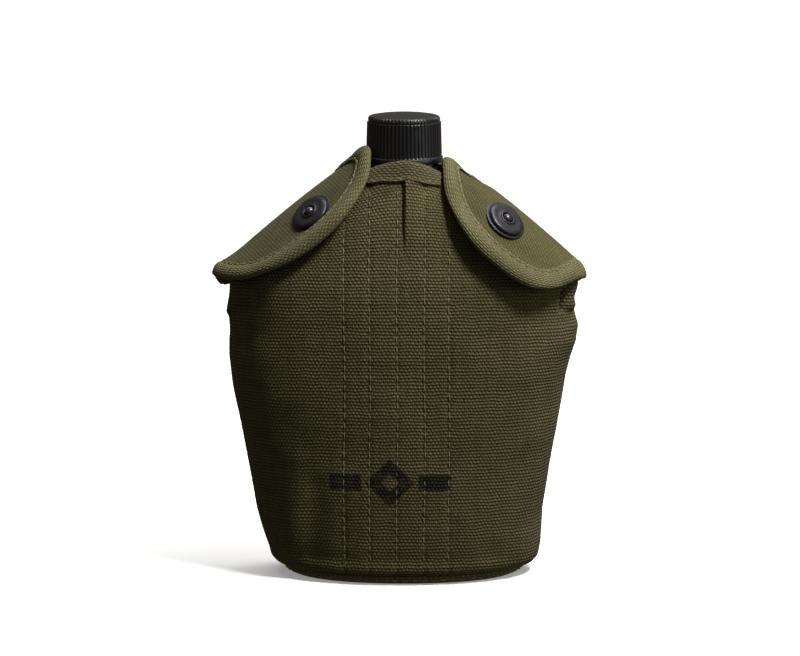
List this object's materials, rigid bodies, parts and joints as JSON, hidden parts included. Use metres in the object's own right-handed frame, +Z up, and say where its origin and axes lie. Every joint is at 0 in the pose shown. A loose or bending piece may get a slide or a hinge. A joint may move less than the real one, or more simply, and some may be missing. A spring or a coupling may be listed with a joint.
{
  "type": "canteen",
  "caption": "Steel belt canteen with a ribbed screw cap, in a padded canvas cover with two tape-edged snap flaps on its shoulders and a belt hook behind.",
  "frame": {"origin": "middle of the base, on the surface it stands on", "axes": "+Z up along the height, +Y towards the back, where the belt hook is, +X to the viewer's right from the front"},
  "size_m": [0.1882, 0.088, 0.23],
  "materials": {
    "canvas": "coarse olive duck weave, dull",
    "tape": "lighter olive herringbone binding tape",
    "webbing": "olive cotton webbing",
    "felt": "pressed grey-brown wool felt",
    "cap_plastic": "black moulded plastic, semi-matte",
    "seal_rubber": "soft black rubber",
    "steel": "satin stainless steel",
    "black_metal": "blackened brass, slightly glossy"
  },
  "bodies": {
    "cover": {"back_lining": "felt", "back_panel": "canvas", "belt_strap": "webbing", "bottle_lower_shell": "steel", "bottle_neck": "steel", "bottle_upper_shell": "steel", "bottom_binding": "tape", "bottom_panel": "canvas", "drain_eyelet": "black_metal", "drain_washer": "black_metal", "front_lining": "felt", "front_panel": "canvas", "front_stay_strip": "webbing", "front_top_binding": "tape", "left_side_binding": "tape", "left_stud": "black_metal", "left_stud_plate": "black_metal", "right_side_binding": "tape", "right_stud": "black_metal", "right_stud_plate": "black_metal"},
    "gasket": {"cap_gasket": "seal_rubber"},
    "cap": {"cap": "cap_plastic"},
    "left_flap": {"left_clinch_plate": "black_metal", "left_flap": "canvas", "left_flap_binding": "tape", "left_socket": "black_metal"},
    "right_flap": {"right_clinch_plate": "black_metal", "right_flap": "canvas", "right_flap_binding": "tape", "right_socket": "black_metal"},
    "belt_hook": {"belt_hook": "black_metal"}
  },
  "joints": [
    {"name": "gasket_lift", "type": "slide", "parent": "cover", "child": "gasket", "axis": [0, 0, 1], "range_m": [0, 0.021]},
    {"name": "cap_turn", "type": "hinge", "parent": "gasket", "child": "cap", "pos_m": [0, -0.00051, 0.2185], "axis": [0, 0, 1], "range_deg": [0, 1800]},
    {"name": "left_flap_hinge", "type": "hinge", "parent": "cover", "child": "left_flap", "pos_m": [-0.0257, -0.00051, 0.2056], "axis": [-0.7771, 0, -0.6293], "range_deg": [0, 150]},
    {"name": "right_flap_hinge", "type": "hinge", "parent": "cover", "child": "right_flap", "pos_m": [0.0257, -0.00051, 0.2056], "axis": [-0.7771, 0, 0.6293], "range_deg": [0, 150]},
    {"name": "belt_hook_swing", "type": "hinge", "parent": "cover", "child": "belt_hook", "pos_m": [0, 0.0326, 0.164], "axis": [1, 0, 0], "range_deg": [0, 150]}
  ],
  "couplings": [
    {"joint": "gasket_lift", "follows": "cap_turn", "m_per_rad": 0.00063662}
  ]
}
